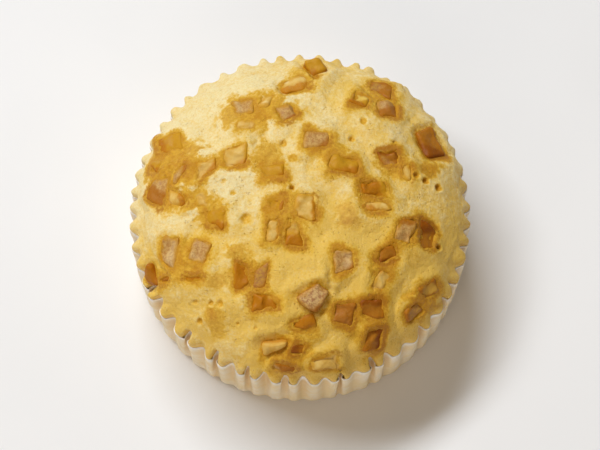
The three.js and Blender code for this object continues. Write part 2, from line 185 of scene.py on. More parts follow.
# How high the crumb lies over a die's top at its outline, and how far in from there it laps over the die.
EDGE_LEVEL = {BARE: -0.6, LOW: 0.0, HALF: 0.05, MOST: 0.1, ALL: 0.15}
LAP = {BARE: -0.3, LOW: 0.25, HALF: 0.5, MOST: 1.0, ALL: 9.0}
LAP_BLEND = 0.6
UNDER = -0.6  # how far under a die's top the crumb runs on, out of sight
BANK = 0.22  # how far the crumb swells over the tops of the dice round them
BANK_REACH = 7.0
BANK_SHARE = 0.85
DIP_REACH = 2.8  # how far from a die's outline the crumb starts to dip to it
SOAK = 0.85  # how quickly the syrup thins out from a die
SYRUP_OF = {"amber": 1.0, "pale": 0.75, "skin": 0.9, "brown": 1.15}  # how much syrup a die gives off
DARK_OF = {"amber": 0.05, "pale": 0.0, "skin": 0.1, "brown": 0.45}  # and how dark a line lies round it
DEEP_SYRUP = 0.9  # how much more of both there is on its darker side, partly syrup and partly painted shade
DEEP_DARK = 0.6
CRISP = {"amber_dice_01", "skin_dice_05", "skin_dice_11", "brown_dice_02", "brown_dice_08", "pale_dice_13"}

# Dice by kind and number, as they lie in the dome: middle in plan, length, width, turn in degrees, how far
# the top stands over the dome, how much of its slope the die leans with, how much crumb covers it, and its
# look: which way its darker side, partly syrup and partly painted shade, and its pale and skin sides face,
# in degrees from +X, and how much of the top each takes, which is none where a side is missing. A few looks
# also give the skew and taper of the cut.
DICE = {
    "amber": [
        (4, 38, 4.4, 4.8, 25, 2.2, 0.15, BARE, dict(syrup_and_shade=(250, 0.25))),
        (-33.5, 17.2, 7.2, 5.8, 5, 0.7, 0.8, MOST, dict(syrup_and_shade=(200, 0.35))),
        (-37.2, 11.2, 4.2, 3.6, -10, 0.9, 1, HALF, dict(syrup_and_shade=(240, 0.5), skin=(60, 0.3))),
        (-7, 7, 6.6, 4.8, 0, 0.5, 1, MOST, dict(syrup_and_shade=(300, 0.3))),
        (11.2, 9, 8.4, 4.8, -8, 0.7, 1, LOW, dict(syrup_and_shade=(280, 0.35))),
        (15.5, 27.5, 5, 5, -25, 1, 0.9, LOW, dict(pale=(70, 0.45), syrup_and_shade=(250, 0.3))),
        (19, 2.6, 7, 4.4, 0, 0.7, 1, LOW, dict(syrup_and_shade=(200, 0.7))),
        (-1.8, -9.6, 4.8, 6.6, 10, 0.4, 1, HALF, dict(syrup_and_shade=(270, 0.5), skin=(90, 0.3))),
        (-6.2, -1.2, 4.9, 4.4, 0, 0.4, 1, MOST, dict(syrup_and_shade=(0, 0.3))),
        (-27, -19.7, 6.2, 2.6, 0, 0.6, 1, HALF, dict(syrup_and_shade=(90, 0.5))),
        (-15, -19.4, 4, 6.6, -5, 0.6, 1, LOW, dict(syrup_and_shade=(0, 0.9))),
        (-9.2, -26, 6.8, 4.2, 0, 0.8, 1, LOW, dict(syrup_and_shade=(240, 0.75))),
        (1, -31.5, 6.4, 3.4, 5, 0.5, 1, MOST, dict(syrup_and_shade=(120, 0.7))),
        (-21.5, -4.6, 5.6, 4.6, -5, 0.4, 1, MOST, dict(syrup_and_shade=(270, 0.3))),
    ],
    "pale": [
        (-14, 20, 5.6, 2.8, -5, 0.6, 1, ALL, {}),
        (-8.8, 27, 3.2, 4, -5, 0.6, 1, LOW, dict(pale=(270, 0.4))),
        (-1.2, 32.4, 7.4, 5, 15, 0.5, 0.9, HALF, dict(pale=(120, 0.25), syrup_and_shade=(290, 0.45), skin=(250, 0.2))),
        (-16.5, 11.5, 6.4, 5.6, 10, 0.8, 1, LOW, dict(syrup_and_shade=(300, 0.25))),
        (-24, 8.6, 5.6, 4.2, 25, 0.9, 1, LOW, dict(syrup_and_shade=(320, 0.4), skin=(200, 0.2))),
        (-31.5, 1.4, 6, 3.8, -15, 0.8, 1, LOW, dict(syrup_and_shade=(20, 0.4))),
        (-25, 0.4, 3.4, 4, -5, 0.5, 1, MOST, {}),
        (-7, -8.6, 3.6, 6.2, 0, 0.6, 1, LOW, dict(syrup_and_shade=(0, 0.2))),
        (1.5, -2.4, 5, 6.8, 0, 0.5, 1, LOW, dict(syrup_and_shade=(0, 0.2), skin=(180, 0.15))),
        (20.4, -20.4, 3.8, 5.6, -20, 0.8, 1, LOW, dict(syrup_and_shade=(120, 0.2))),
        (27.4, 8, 2.8, 4.4, -10, 0.8, 1, LOW, dict(syrup_and_shade=(0, 0.2))),
        (19.5, -1.8, 6.6, 3, 0, 0.5, 1, HALF, dict(syrup_and_shade=(250, 0.35))),
        (-6.6, -36.8, 6.4, 2.4, 15, 0.8, 1, BARE, dict(taper=-0.5, skew=0.2)),
        (6.2, -40, 7.6, 4.6, 5, 0.7, 0.9, MOST, dict(syrup_and_shade=(90, 0.15))),
    ],
    "skin": [
        (-14.5, 25.7, 6, 5, 0, 0.7, 1, LOW, dict(pale=(200, 0.4))),
        (-3.2, 23.4, 5.4, 4.6, 20, 0.6, 1, LOW, dict(pale=(90, 0.25), syrup_and_shade=(300, 0.3))),
        (-36.6, 4.4, 6.2, 7, -10, 0.8, 0.8, LOW, dict(syrup_and_shade=(230, 0.55))),
        (-30.8, 7.8, 6.4, 2.6, 60, 1, 1, LOW, dict(syrup_and_shade=(0, 0.3))),
        (4.2, 15.6, 6.8, 5.4, 0, 0.9, 1, LOW, dict(syrup_and_shade=(315, 0.3))),
        (22.8, 25.4, 6.4, 5.4, -5, 0.8, 0.9, LOW, dict(syrup_and_shade=(290, 0.6))),
        (26.6, -7.6, 5, 6.4, -5, 0.6, 1, LOW, dict(syrup_and_shade=(90, 0.25), pale=(270, 0.2))),
        (11, -16, 5.8, 6.4, 10, 0.5, 1, HALF, dict(pale=(0, 0.45), syrup_and_shade=(320, 0.25))),
        (-33.4, -12, 5.8, 7.6, -25, 0.8, 0.9, LOW, dict(pale=(-20, 0.5))),
        (-25.6, -13, 5.6, 6.2, -20, 0.6, 1, LOW, dict(pale=(220, 0.35))),
        (3.5, -25, 6.7, 5, 45, 1.8, 0.8, BARE, dict(syrup_and_shade=(300, 0.1), skin=(45, 1.0))),
        (11, -28.8, 6, 6, -10, 0.5, 1, HALF, dict(syrup_and_shade=(0, 0.95))),
        (-4, -41, 6.8, 2.8, 0, 0.8, 0.9, HALF, dict(syrup_and_shade=(60, 0.6))),
    ],
    "brown": [
        (21, 32, 6.8, 4.4, -20, 1, 0.75, LOW, dict(skin=(120, 0.5))),
        (34, 17.4, 6, 8.4, 20, 0.8, 0.85, BARE, dict(syrup_and_shade=(250, 0.4))),
        (23, 11.4, 5.6, 4.6, 10, 0.7, 1, LOW, dict(skin=(240, 0.45), syrup_and_shade=(90, 0.3))),
        (-38.4, -16.8, 3.4, 4.8, 25, 0.7, 0.9, BARE, {}),
        (-34.8, -18.6, 3.8, 2.2, 10, 0.6, 1, LOW, {}),
        (32.7, -8.2, 5.6, 6.8, -15, 0.6, 1, LOW, dict(syrup_and_shade=(120, 0.4))),
        (21.8, -13.6, 5.8, 4, 20, 0.7, 1, LOW, dict(syrup_and_shade=(270, 0.3))),
        (-10, -20, 4.2, 5.4, 15, 0.6, 1, LOW, dict(skin=(135, 0.7), skew=0.35, taper=0.25)),
        (18.2, -27.2, 6.6, 5.2, 0, 0.8, 1, LOW, dict(syrup_and_shade=(90, 0.3))),
        (18.6, -34, 5.4, 6.6, 0, 0.8, 1, HALF, dict(syrup_and_shade=(0, 0.4))),
        (33, -21.2, 5.8, 4.4, 35, 0.6, 1, HALF, dict(pale=(90, 0.75))),
        (29, -26.8, 5.8, 4.4, 30, 0.7, 1, LOW, dict(skin=(300, 0.8), pale=(120, 0.2))),
        (-0.2, -37, 3.8, 2.8, 5, 0.5, 1, LOW, dict(syrup_and_shade=(180, 0.5))),
    ],
}


# ---- working on a mesh


def take(piece):
    """Makes piece the only thing that is selected, and the active one."""
    bpy.ops.object.select_all(action="DESELECT")
    piece.select_set(True)
    bpy.context.view_layer.objects.active = piece


def vectors_of(piece, name):
    flat = np.empty(len(piece.data.vertices) * 3, np.float32)
    piece.data.update()
    piece.data.vertices.foreach_get(name, flat)
    return flat.reshape(-1, 3).astype(float)


def points_of(piece):
    return vectors_of(piece, "co") / MM


def move_points(piece, points):
    piece.data.vertices.foreach_set("co", (points * MM).astype(np.float32).ravel())
    piece.data.update()


def paint_mask(piece, name, values):
    layer = piece.data.attributes.new(name, "FLOAT", "POINT")
    layer.data.foreach_set("value", np.clip(values, 0, 1).astype(np.float32))


def apply_modifier(piece, kind, **settings):
    take(piece)
    modifier = piece.modifiers.new(kind.title(), kind)
    for name, value in settings.items():
        setattr(modifier, name, value)
    bpy.ops.object.modifier_apply(modifier=modifier.name)


def face_outwards(piece):
    take(piece)
    bpy.ops.object.mode_set(mode="EDIT")
    bpy.ops.mesh.select_all(action="SELECT")
    bpy.ops.mesh.normals_make_consistent(inside=False)
    bpy.ops.object.mode_set(mode="OBJECT")


def lumps(points, size, seed=0):
    """Soft unevenness with lumps of about that size, from -1 to 1."""
    return np.array([noise.noise(point) for point in points / size + SEED_STEP * seed])


def ease(values):
    """0 below 0, 1 above 1, and a smooth step between."""
    held = np.clip(values, 0, 1)
    return held * held * (3 - 2 * held)


def in_turned_box(points, x, y, turn):
    """Plan coordinates about a point, along and across a direction in degrees."""
    angle = math.radians(turn)
    dx, dy = points[:, 0] - x, points[:, 1] - y
    along = dx * math.cos(angle) + dy * math.sin(angle)
    return along, dy * math.cos(angle) - dx * math.sin(angle)


# ---- pleats


def pleat_tables():
    """The pleats' folds opened out to arrays, with one more at the end that closes the round."""
    inner, depth, outer, pinch = np.array(PLEATS + PLEATS[:1]).T
    inner[-1] += 360
    return np.radians(inner), np.radians(outer), depth, pinch


INNER, OUTER, DEPTH, PINCH = pleat_tables()
FOLD_SHARPNESS = 1.35
BULB = 0.6  # half the width of a pinched fold's loop
BULB_ROUND = 0.8  # power that fills the loop out
NECK = 0.14  # half the width of the neck where its sides meet
NECK_START = 0.3  # where the neck starts and ends, as a share of the way to the next outer fold
NECK_AT = 0.6
FOLD_BINS = 2400  # steps round the case in which the folds' depth is looked up


def fold_wave(away):
    """How far in the paper lies, from 1 at an inner fold to 0 at an outer one."""
    return ((1 + np.cos(math.pi * away)) / 2) ** FOLD_SHARPNESS


def fold_offset(away, spacing, pinch):
    """How far beside an inner fold the paper lies: a straight slope, or the loop of a pinched fold."""
    loop = BULB * max(math.sin(math.pi * min(away / NECK_AT, 1)), 0) ** BULB_ROUND
    flare = float(ease((away - NECK_AT) / (1 - NECK_AT)))
    looped = loop + NECK * min(away / NECK_START, 1) * (1 - flare) + spacing * flare
    return spacing * away * (1 - pinch) + looped * pinch


def pleat_line(pinched):
    """Angle and depth of the points along all pleats. pinched is 1 at the rim and less further down."""
    angles, depths = [], []
    for step in range(len(PLEATS)):
        for point in range(PLEAT_STEPS):
            way = 2 * point / PLEAT_STEPS
            if way <= 1:
                fold, away, side = step, way, 1
            else:
                fold, away, side = step + 1, 2 - way, -1
            spacing = abs(OUTER[step] - INNER[fold]) * RIM_RADIUS
            offset = fold_offset(away, spacing, PINCH[fold] * pinched)
            angles.append(INNER[fold] + side * offset / RIM_RADIUS)
            depths.append(DEPTH[fold] * fold_wave(away))
    return np.array(angles), np.array(depths)


def deepest_fold(angles, pinched):
    """How far in the paper comes at each angle, also where a pinched fold laps over itself."""
    around, depths = pleat_line(pinched)
    around = np.append(around, around[0] + TURN)
    depths = np.append(depths, depths[0])
    stops = np.linspace(0, 1, 9)  # enough points along each step of the line to reach every bin
    turns = (around[:-1, None] + np.diff(around)[:, None] * stops) % TURN
    levels = depths[:-1, None] + np.diff(depths)[:, None] * stops
    deepest = np.zeros(FOLD_BINS)
    places = (turns / TURN * FOLD_BINS).astype(int).ravel() % FOLD_BINS
    np.maximum.at(deepest, places, levels.ravel())
    widened = np.max([np.roll(deepest, shift) for shift in (-1, 0, 1)], axis=0)
    eased = np.mean([np.roll(widened, shift) for shift in (-1, 0, 1)], axis=0)
    middles = (np.arange(FOLD_BINS) + 0.5) * TURN / FOLD_BINS
    return np.interp(angles % TURN, middles, np.maximum(eased, deepest), period=TURN)


def slack_at(angles, heights):
    """How far the paper bulges in and out of its pleats."""
    bulges = [
        noise.noise((math.cos(a) * SLACK_SPREAD, math.sin(a) * SLACK_SPREAD, z / SLACK_LENGTH))
        * min(z / SLACK_FOOT, 1)
        for a, z in zip(angles, heights)
    ]
    return SLACK * np.array(bulges)


# ---- paper case


def ringed_sheet(name, count, rings):
    """A filled circle whose edge is drawn out ring by ring. A ring's number is its height, in metres."""
    bpy.ops.object.select_all(action="DESELECT")
    bpy.ops.mesh.primitive_circle_add(vertices=count, radius=1, fill_type="NGON")
    piece = bpy.context.active_object
    piece.name = piece.data.name = name
    bpy.ops.object.mode_set(mode="EDIT")
    bpy.ops.mesh.select_mode(type="EDGE")
    bpy.ops.mesh.select_all(action="SELECT")
    for _ in range(rings):
        bpy.ops.mesh.extrude_edges_move(TRANSFORM_OT_translate={"value": (0, 0, 1)})
    bpy.ops.object.mode_set(mode="OBJECT")
    return piece


def case_profile():
    """Radius, height, pleat share and pinch of each ring of the case, from the floor to the rim."""
    floor_edge = WALL_FOOT_RADIUS - CORNER_RADIUS
    rings = [(floor_edge * share, 0.0, pleat_share, 0.0) for share, pleat_share in FLOOR_EDGES]
    for step in range(CORNER_RINGS + 1):
        share = step / CORNER_RINGS
        bend = share * math.pi / 2
        radius = floor_edge + CORNER_RADIUS * math.sin(bend)
        height = CORNER_RADIUS * (1 - math.cos(bend))
        rings.append((radius, height, FLOOR_SHARE + (FOOT_SHARE - FLOOR_SHARE) * share, CORNER_PINCH))
    for step in range(1, WALL_RINGS + 1):
        share = step / WALL_RINGS
        radius = WALL_FOOT_RADIUS + (RIM_RADIUS - WALL_FOOT_RADIUS) * share
        height = CORNER_RADIUS + (CASE_HEIGHT - CORNER_RADIUS) * share
        pinch = FOOT_PINCH + (1 - FOOT_PINCH) * share**2
        rings.append((radius, height, FOOT_SHARE + (1 - FOOT_SHARE) * share, pinch))
    return rings


def paper_cup():
    profile = case_profile()
    count = len(PLEATS) * PLEAT_STEPS
    piece = ringed_sheet("pleated_paper", count, len(profile) - 1)
    levels = np.rint(points_of(piece)[:, 2] * MM).astype(int)
    order = np.arctan2(*points_of(piece)[:, 1::-1].T) % TURN
    place = np.rint(order / TURN * count).astype(int) % count
    points = np.zeros((len(levels), 3))
    for level, (radius, height, share, pinched) in enumerate(profile):
        angles, depths = pleat_line(pinched)
        here = levels == level
        angle, depth = angles[place[here]], depths[place[here]] * share
        round_rim = np.column_stack([np.cos(angle), np.sin(angle)]) * WAVER_SPREAD
        waver = np.array([noise.noise((x, y, 3.1)) for x, y in round_rim])
        proud = FOLD_RISE * np.maximum(depth - FOLD_LEVEL, 0) * (height / CASE_HEIGHT) ** FOLD_FADE
        rise = height + RIM_WAVER * waver * (height / CASE_HEIGHT) ** WAVER_FADE + proud
        held = np.minimum(radius - depth + slack_at(angle, np.full(len(angle), height)), radius)
        points[here] = np.column_stack([held * np.cos(angle), held * np.sin(angle), rise])
    move_points(piece, points)
    face_outwards(piece)
    # The first face is the floor, which faces down on a cup that isn't inside out.
    if piece.data.polygons[0].normal.z > 0:
        piece.data.flip_normals()
    apply_modifier(piece, "SOLIDIFY", thickness=PAPER * MM, offset=-1, use_even_offset=False)
    points = points_of(piece)
    rim = ease((points[:, 2] - CASE_HEIGHT + PALE_RIM) / PALE_BLEND + PALE_RAGGED * lumps(points, 3, 5))
    radius = np.hypot(points[:, 0], points[:, 1])
    paint_mask(piece, "rim", rim)
    # Painted shade in the pleats' inner folds, further in than the rim's outside.
    paint_mask(piece, "inner_fold_shade", ease((RIM_RADIUS - VALLEY_START - radius) / VALLEY_SPAN))
    take(piece)
    bpy.ops.object.shade_smooth_by_angle(angle=PAPER_CREASE)
    return piece


# ---- sponge


def dome_radius(angles):
    turn = angles - OVERHANG_ANGLE
    away = np.arctan2(np.sin(turn), np.cos(turn))
    uneven = DOME_UNEVENNESS * (np.sin(3 * angles + 1) + 0.7 * np.sin(7 * angles))
    return DOME_RADIUS + uneven + OVERHANG * np.exp(-((away / OVERHANG_SPREAD) ** 2))


def dome_height(x, y):
    share = np.minimum(np.hypot(x, y) / dome_radius(np.arctan2(y, x)), 1)
    rise = (1 - share**DOME_ROUND) ** DOME_FULLNESS
    along_x, along_y, across = SWELL_LENGTHS
    waves = np.sin(x / along_x + 0.6) * np.sin(y / along_y)
    waves = waves + CROSS_SWELL * np.sin((x + y) / across + 2)
    humps = sum(np.exp(-((x - at_x) ** 2 + (y - at_y) ** 2) / half**2) for at_x, at_y, half in HUMPS)
    fade = np.clip(4 * rise - 1, 0, 1)
    return DOME_FOOT + DOME_HEIGHT * rise + fade * (SWELL * waves + HUMP_HEIGHT * humps)


def dome_profile(steps):
    """Share of the radius, and drop below the dome's foot, at even steps from top to sheet's edge."""
    shares = np.sin(np.linspace(0, math.pi / 2, PROFILE_STEPS))
    heights = DOME_FOOT + DOME_HEIGHT * (1 - shares**DOME_ROUND) ** DOME_FULLNESS
    shares = np.append(shares, 1.0)
    heights = np.append(heights, SHEET_FOOT)
    length = np.append(0, np.cumsum(np.hypot(np.diff(shares) * DOME_RADIUS, np.diff(heights))))
    length /= length[-1]
    drop = np.maximum(DOME_FOOT - np.interp(steps, length, heights), 0)
    return np.interp(steps, length, shares), drop


PROFILE_STEPS = 3000
SIDE_RINGS = (22.0, 14.0, 6.0, 2.6, 0.8)  # heights of the crumb's rings inside the case
SIDE_FOOT = 3  # height below which they draw in to the floor
CORNER_CLEAR = 1.2  # and how far they keep from the case's corner and from its floor's edge
FLOOR_CLEAR = 1
CLING_START = 2.5  # how far below the rim the crumb starts to close on the paper
CLING_SPAN = 1.5


def crumb_sheet():
    """A square sheet, its edge drawn down into the case and closed underneath, rounded to the dome."""
    bpy.ops.object.select_all(action="DESELECT")
    bpy.ops.mesh.primitive_grid_add(x_subdivisions=SHEET, y_subdivisions=SHEET, size=2)
    piece = bpy.context.active_object
    piece.name = piece.data.name = "sponge_crumb"
    bpy.ops.object.mode_set(mode="EDIT")
    bpy.ops.mesh.select_mode(type="EDGE")
    bpy.ops.mesh.select_all(action="DESELECT")
    bpy.ops.mesh.select_non_manifold()
    for _ in SIDE_RINGS:
        bpy.ops.mesh.extrude_edges_move(TRANSFORM_OT_translate={"value": (0, 0, -1)})
    bpy.ops.mesh.edge_face_add()
    bpy.ops.object.mode_set(mode="OBJECT")

    square = points_of(piece) * MM
    x, y = square[:, 0], square[:, 1]
    ring = np.rint(-square[:, 2]).astype(int)
    wide = np.abs(x) >= np.abs(y)
    reach = np.where(wide, x, y)
    other = np.where(wide, y, x)
    slant = math.pi / 4 * other / np.where(np.abs(reach) < 1e-9, 1, reach)
    angle = np.where(wide, slant, math.pi / 2 - slant) + np.where(reach < 0, math.pi, 0)
    share, drop = dome_profile(np.abs(reach))
    radius = share * dome_radius(angle)
    height = dome_height(radius * np.cos(angle), radius * np.sin(angle)) - drop
    for number, level in enumerate(SIDE_RINGS, 1):
        height = np.where(ring == number, level, height)
    depth = np.maximum(deepest_fold(angle, 1.0), deepest_fold(angle, 0.7))
    pleat_share = np.interp(height, [CORNER_RADIUS, CASE_HEIGHT], [FOOT_SHARE, 1])
    gap = HIDDEN_GAP - (HIDDEN_GAP + CLING) * ease((height - CASE_HEIGHT + CLING_START) / CLING_SPAN)
    slack = slack_at(angle, np.minimum(height, CASE_HEIGHT))
    wall = np.minimum(RIM_RADIUS - depth * pleat_share + slack, RIM_RADIUS) - PAPER - gap
    wall = np.where(height < SIDE_FOOT, WALL_FOOT_RADIUS - CORNER_CLEAR - depth * FOOT_SHARE, wall)
    wall = np.where(ring == len(SIDE_RINGS), WALL_FOOT_RADIUS - CORNER_RADIUS - FLOOR_CLEAR, wall)
    blend = 1 - ease((height - FLUTE_FULL) / (FLUTE_TOP - FLUTE_FULL))
    radius = radius + blend * (wall - radius)
    move_points(piece, np.column_stack([radius * np.cos(angle), radius * np.sin(angle), height]))
    face_outwards(piece)
    return piece


SLOPE_REACH = 1.5  # how far to each side of a die the dome's slope is taken
CRISP_HEWN, SOFT_HEWN = 0.3, 0.7  # how unevenly a die was cut
CUT_SPREAD = 7  # distance over which that changes from die to die
CHANCES = (3.3, 8.1)  # where in the noise a die's two chances lie
SIDE_BLEND = 0.35  # how softly one side of a die goes over into the rest, as a share of its half length


class Die:
    """Where a die of the frame lies: its top's middle, three directions, and half its length and width."""

    def __init__(self, name):
        self.name = name
        self.kind = name.split("_")[0]
        row = DICE[self.kind][int(name.split("_")[-1]) - 1]
        x, y, length, width, turn, proud, lean, self.cover, self.look = row
        reach = SLOPE_REACH
        slope_x = (dome_height(x + reach, y) - dome_height(x - reach, y)) / (2 * reach)
        slope_y = (dome_height(x, y + reach) - dome_height(x, y - reach)) / (2 * reach)
        up = Vector((-slope_x * lean, -slope_y * lean, 1)).normalized()
        upright = Vector((0, 0, 1)).rotation_difference(up)
        angle = math.radians(turn)
        self.up = np.array(up)
        self.along = np.array(upright @ Vector((math.cos(angle), math.sin(angle), 0)))
        self.across = np.cross(self.up, self.along)
        self.half = np.array([length, width]) / 2
        self.proud = proud
        self.top = np.array([x, y, dome_height(x, y)]) + self.up * proud
        hewn = CRISP_HEWN if name in CRISP else SOFT_HEWN
        chance = [noise.noise((x / CUT_SPREAD, y / CUT_SPREAD, shift)) for shift in CHANCES]
        self.skew = self.look.get("skew", hewn * chance[0])
        self.taper = self.look.get("taper", hewn * chance[1])

    def local(self, points):
        """Along, across and above the top."""
        away = points - self.top
        return away @ self.along, away @ self.across, away @ self.up

    def hewn(self, along, across):
        """Takes points of an even rectangle to the uneven shape that was cut: tapered, then skewed."""
        across = across * (1 + self.taper * np.clip(along / self.half[0], -1.5, 1.5))
        return along + self.skew * across, across

    def squared(self, along, across):
        """And back from the uneven shape to the rectangle."""
        along = along - self.skew * across
        return along, across / (1 + self.taper * np.clip(along / self.half[0], -1.5, 1.5))

    def outside(self, along, across, round_by=0.7):
        """How far outside the die's outline a point lies, below 0 inside it."""
        along, across = self.squared(along, across)
        over = np.column_stack([np.abs(along), np.abs(across)]) - self.half + round_by
        beyond = np.linalg.norm(np.maximum(over, 0), axis=1)
        return beyond + np.minimum(over.max(axis=1), 0) - round_by

    def side(self, along, across, key):
        """1 on the side of the die that its look gives to the key, and 0 on the rest."""
        if key not in self.look:
            return np.zeros(len(along))
        turn, share = self.look[key]
        way = np.array([math.cos(math.radians(turn)), math.sin(math.radians(turn)), 0])
        u, v = way @ self.along, way @ self.across
        reach = abs(u) * self.half[0] + abs(v) * self.half[1]
        place = (along * u + across * v) / max(reach, 0.1)
        return ease((place - (1 - 2 * share)) / SIDE_BLEND + 0.5)


BROAD, ROUGH, FINE = 8.5, 2.6, 1.1  # sizes of the crumb's lumps
BROAD_LIFT, ROUGH_LIFT, FINE_LIFT = 1.0, 0.12, 0.13
TOP_START, TOP_SPAN = 0.4, 2.5  # over the rim, where the crumb starts to be uneven
STAIN_EDGE, STAIN_BLEND = 1.35, 0.8  # edge of a stain, as a share of its size
STAIN_ROUGH, STAIN_FINE = 0.7, 0.4  # how ragged that edge is
DIE_REACH = 12  # how far from a die the crumb takes notice of it
EDGE_ROUGH, EDGE_FINE = 0.8, 0.45  # how raggedly the crumb meets a die
CRISP_RAGGED = 0.4
HOLD = 2.5  # how much more the nearest die counts than the next
HOLD_NEAR, HOLD_FAR = -1.2, 5
PATCHES = 4.4  # size of the patches that the syrup has soaked, how uneven they are, and where they end
PATCH_LIFT, PATCH_ROUGH, PATCH_FINE = 1.7, 0.6, 0.3
SOAK_LOW, SOAK_SPAN = 2.0, 2.7
LINE_AT, LINE_WIDTH = 0.2, 0.8  # the dark line round a die
CREAM, CREAM_START, CREAM_SPAN = 0.7, 0.4, 0.8  # the pale crumb over a pale die
CREST, CREST_BROAD, CREST_ROUGH, CREST_FINE = 0.85, 0.3, 0.25, 0.25  # how dry and pale the crumb is
PAINTED_SHADE_RIGHT, PAINTED_SHADE_FRONT = 0.45, 0.65  # and how much less so, as painted shade, to the right and to the front, away from the key light
PAINTED_SHADE_SPAN = 34
UPRIGHT = 0.05, 0.35  # from how upright to how much flatter a place the crumb starts to rise
PIT_EDGE, PIT_BLEND, PIT_ROUGH = 1.15, 0.9, 0.25  # a burst bubble's bowl, as shares of its radius
PIT_STAIN, PIT_STAIN_BLEND = 1.2, 0.5
LIP_AT, LIP_WIDTH, LIP_LIFT = 1.45, 0.3, 0.12  # and the lip round it
SHADE_FINE, SHADE_ROUGH = 0.35, 0.5  # how uneven the syrup's colour is


def soften(values, centre, width):
    """1 at the centre, falling off to 0 on both sides over about that width."""
    return np.exp(-(((values - centre) / width) ** 2))


def shape_crumb(piece, dice):
    """Swells the crumb round the dice, draws it down to and over them, and presses in pits and furrows."""
    points = points_of(piece)
    normals = vectors_of(piece, "normal")
    top = ease((points[:, 2] - CASE_HEIGHT - TOP_START) / TOP_SPAN)
    rough = lumps(points, ROUGH, 1)
    fine = lumps(points, FINE, 2)
    broad = lumps(points, BROAD, 3)
    count = len(points)
    lift = top * (BROAD_LIFT * broad + ROUGH_LIFT * rough + FINE_LIFT * fine)
    for x, y, length, width, turn, height in RELIEF:
        along, across = in_turned_box(points, x, y, turn)
        lift += top * height * np.exp(-((2 * along / length) ** 2) - (2 * across / width) ** 2)

    syrup, dark, cream = np.zeros(count), np.zeros(count), np.zeros(count)
    for x, y, length, width, turn, stain, pale in VEILED:
        along, across = in_turned_box(points, x, y, turn)
        away = np.hypot(2 * along / length, 2 * across / width) + STAIN_ROUGH * rough + STAIN_FINE * fine
        inside = top * ease((STAIN_EDGE - away) / STAIN_BLEND)
        syrup = np.maximum(syrup, stain * inside)
        cream = np.maximum(cream, pale * inside)

    bank, closest, soaked = np.zeros(count), np.full(count, 99.0), np.zeros(count)
    wanted, weights = np.zeros(count), np.full(count, 1e-9)
    for die in dice:
        near = np.flatnonzero(np.linalg.norm(points - die.top, axis=1) < DIE_REACH)
        along, across, above = die.local(points[near])
        ragged = CRISP_RAGGED if die.name in CRISP else 1.0
        plain_away = die.outside(along, across, 1.2)
        away = plain_away + ragged * (EDGE_ROUGH * rough[near] + EDGE_FINE * fine[near])
        facing = np.maximum(normals[near] @ die.up, 0.3)
        swell = (min(die.proud, 1.0) + BANK) * ease((BANK_REACH - plain_away) / BANK_REACH)
        bank[near] = np.maximum(bank[near], BANK_SHARE * swell)
        closest[near] = np.minimum(closest[near], away)
        edge = EDGE_LEVEL[die.cover]
        inward = ease((-away - LAP[die.cover]) / LAP_BLEND)
        level = edge * (1 - inward) + np.minimum(edge, UNDER) * inward
        weight = np.exp(-HOLD * np.clip(away, HOLD_NEAR, HOLD_FAR))
        change = (level - above) / facing
        if die.cover == BARE:
            change = np.minimum(change, lift[near])
        wanted[near] += weight * change
        weights[near] += weight

        # The die's darker side, partly syrup and partly painted shade, soaks and darkens the crumb round it
        # more.
        deep_side = die.side(along, across, "syrup_and_shade")
        soft_away = np.maximum(0.5 * away + 0.5 * plain_away, -0.6)
        soaked[near] += SYRUP_OF[die.kind] * (1 + DEEP_SYRUP * deep_side) * np.exp(-soft_away / SOAK)
        line = soften(away, LINE_AT, LINE_WIDTH)
        dark[near] = np.maximum(dark[near], line * (DARK_OF[die.kind] + DEEP_DARK * deep_side))
        if die.kind == "pale":
            cream[near] = np.maximum(cream[near], CREAM * ease((-CREAM_START - away) / CREAM_SPAN))

    reached = np.log(np.maximum(soaked, 1e-6)) + PATCH_LIFT * lumps(points, PATCHES, 4)
    reached = reached + PATCH_ROUGH * rough + PATCH_FINE * fine
    syrup = np.maximum(syrup, np.clip((reached + SOAK_LOW) / SOAK_SPAN, 0, 1))
    lift += bank * top
    paleness_and_painted_shade = CREST + CREST_BROAD * broad + CREST_ROUGH * rough + CREST_FINE * fine
    # Painted shade: the crumb is painted less pale, darker and more golden, to the right and to the front,
    # away from the key light at the back left.
    paleness_and_painted_shade -= PAINTED_SHADE_RIGHT * ease((points[:, 0] + 22) / PAINTED_SHADE_SPAN)
    paleness_and_painted_shade -= PAINTED_SHADE_FRONT * ease((-points[:, 1] + 10) / PAINTED_SHADE_SPAN)
    pull = ease((DIP_REACH - closest) / DIP_REACH)
    lift += pull * (wanted / weights - lift)
    lift *= ease((normals[:, 2] - UPRIGHT[0]) / UPRIGHT[1])

    for x, y, radius, depth, stain in PITS:
        away = np.hypot(points[:, 0] - x, points[:, 1] - y) / radius + PIT_ROUGH * fine
        lift -= depth * (top * ease((PIT_EDGE - away) / PIT_BLEND))
        lift += top * LIP_LIFT * soften(away, LIP_AT, LIP_WIDTH)
        syrup = np.maximum(syrup, stain * top * ease((PIT_STAIN - away) / PIT_STAIN_BLEND))
    move_points(piece, points + normals * lift[:, None])
    paint_mask(piece, "syrup", syrup * (1 + SHADE_FINE * fine + SHADE_ROUGH * rough))
    paint_mask(piece, "dark", dark)
    paint_mask(piece, "cream", cream)
    paint_mask(piece, "paleness_and_painted_shade", paleness_and_painted_shade)
    take(piece)
    bpy.ops.object.shade_smooth()


# ---- candied dice

VOXEL = 0.34  # fineness of a die's mesh
CRISP_ROUNDS, SOFT_ROUNDS = 3, 7  # how often its edges are smoothed
SWAY, CRISP_SWAY = 3.4, 0.4  # length of the bends in its faces, and how much of them a crisp die has
FACE_TILT, TILT_SPREAD = 0.3, 9  # how far its top leans, and over what distance that changes
PLUMP, DENTS, NICKS = 0.08, 0.18, 0.12  # how far its faces stand out, and how uneven they are
DENT_SIZE, NICK_SIZE = 2.2, 0.9
RAG_SIZE, FINE_RAG_SIZE = 1.5, 0.8
CRISP_RIM, SOFT_RIM = 0.45, 0.9  # how strong the amber rim round its top is


